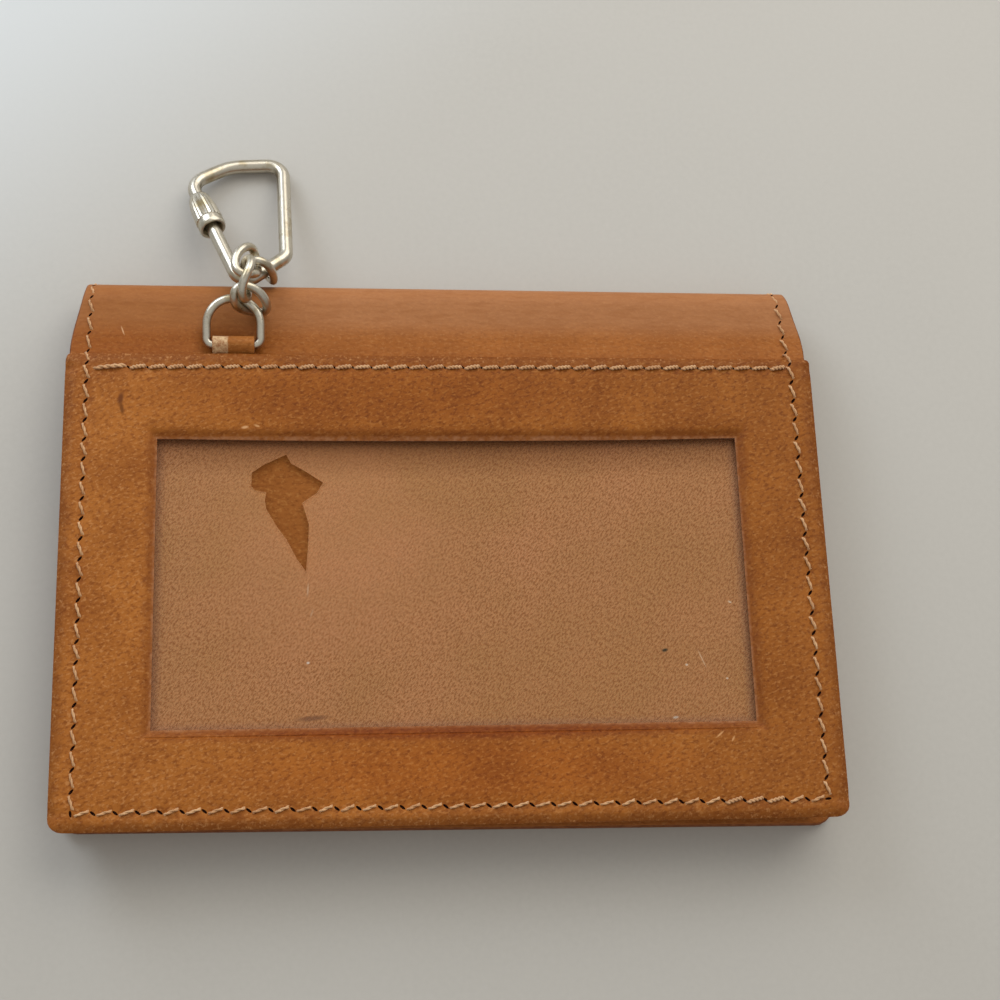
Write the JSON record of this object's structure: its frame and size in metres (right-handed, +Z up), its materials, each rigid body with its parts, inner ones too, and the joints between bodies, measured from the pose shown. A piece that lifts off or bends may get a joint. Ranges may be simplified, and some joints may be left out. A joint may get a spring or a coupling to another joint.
{
  "type": "folding card case with key ring",
  "caption": "Folding leather card case with a clear window panel, sewn edges and a rolled fold; a leather tab holds a short chain and a wire key ring with a knurled sleeve.",
  "frame": {"origin": "on the resting face under the front cover, at the middle of the window panel's outline", "axes": "+X along the fold, to the right as pictured; +Y from the open edge to the fold; +Z up through the window"},
  "size_m": [0.102, 0.0975, 0.0151],
  "materials": {
    "leather_tan": "worn satin, burnished edges",
    "leather_fold": "worn satin, fine wrinkles",
    "leather_inner": "matt",
    "thread": "matt, twisted",
    "nickel": "worn nickel plate",
    "film": "hazy clear film"
  },
  "bodies": {
    "case_back": {"window_panel": "leather_tan", "window_film": "film", "back_leaf": "leather_inner", "back_pocket": "leather_inner", "cover_back_flange": "leather_fold", "panel_seam": "thread", "panel_top_seam": "thread", "flange_seam_left": "thread", "flange_seam_right": "thread", "tab_root": "leather_tan"},
    "fold": {"spine": "leather_fold", "spine_lining": "leather_inner", "spine_seam_left": "thread", "spine_seam_right": "thread"},
    "case_front": {"front_cover": "leather_tan", "front_lining": "leather_inner", "front_pocket": "leather_inner", "front_seam": "thread"},
    "tab": {"chain_tab": "leather_tan"},
    "end_ring": {"end_ring": "nickel"},
    "link_1": {"chain_link_1": "nickel"},
    "link_2": {"chain_link_2": "nickel"},
    "link_3": {"chain_link_3": "nickel"},
    "link_4": {"chain_link_4": "nickel"},
    "key_ring": {"key_ring": "nickel"},
    "sleeve": {"key_ring_sleeve": "nickel"}
  },
  "joints": [
    {"name": "cover_fold", "type": "hinge", "parent": "case_back", "child": "fold", "pos_m": [0, 0.04315, 0.0064], "axis": [1, 0, 0], "range_deg": [0, 90]},
    {"name": "cover_open", "type": "hinge", "parent": "fold", "child": "case_front", "pos_m": [0, 0.04315, 0.0011], "axis": [1, 0, 0], "range_deg": [0, 90]},
    {"name": "tab_lift", "type": "hinge", "parent": "case_back", "child": "tab", "pos_m": [-0.02865, 0.0322, 0.0085], "axis": [1, 0, 0], "range_deg": [0, 22.5]},
    {"name": "end_ring_swing", "type": "hinge", "parent": "tab", "child": "end_ring", "pos_m": [-0.02865, 0.0337, 0.0083], "axis": [1, 0, 0], "range_deg": [0, 90]},
    {"name": "link_1_swing", "type": "hinge", "parent": "end_ring", "child": "link_1", "pos_m": [-0.02534, 0.03791, 0.00948], "axis": [-0.4249, 0.8718, 0.2439], "range_deg": [-10, 1]},
    {"name": "link_2_swing", "type": "hinge", "parent": "link_1", "child": "link_2", "pos_m": [-0.02605, 0.04044, 0.01222], "axis": [0.8638, -0.2509, -0.4369], "range_deg": [0, 7]},
    {"name": "link_3_swing", "type": "hinge", "parent": "link_2", "child": "link_3", "pos_m": [-0.02718, 0.04264, 0.0112], "axis": [-0.1359, 0.9366, 0.3229], "range_deg": [-35, 3]},
    {"name": "link_4_swing", "type": "hinge", "parent": "link_3", "child": "link_4", "pos_m": [-0.02541, 0.04422, 0.00992], "axis": [-0.044, 0.7863, -0.6163], "range_deg": [-18, 2]},
    {"name": "key_ring_swing", "type": "hinge", "parent": "link_4", "child": "key_ring", "pos_m": [-0.02329, 0.04396, 0.00775], "axis": [-0.011, 0.059, 0.9982], "range_deg": [-1, 16]},
    {"name": "sleeve_slide", "type": "slide", "parent": "key_ring", "child": "sleeve", "axis": [0.3563, -0.8856, 0.298], "range_m": [0, 0.003]}
  ],
  "couplings": [
    {"joint": "cover_open", "follows": "cover_fold", "ratio": 1},
    {"joint": "tab_lift", "follows": "cover_fold", "ratio": 0.25}
  ]
}
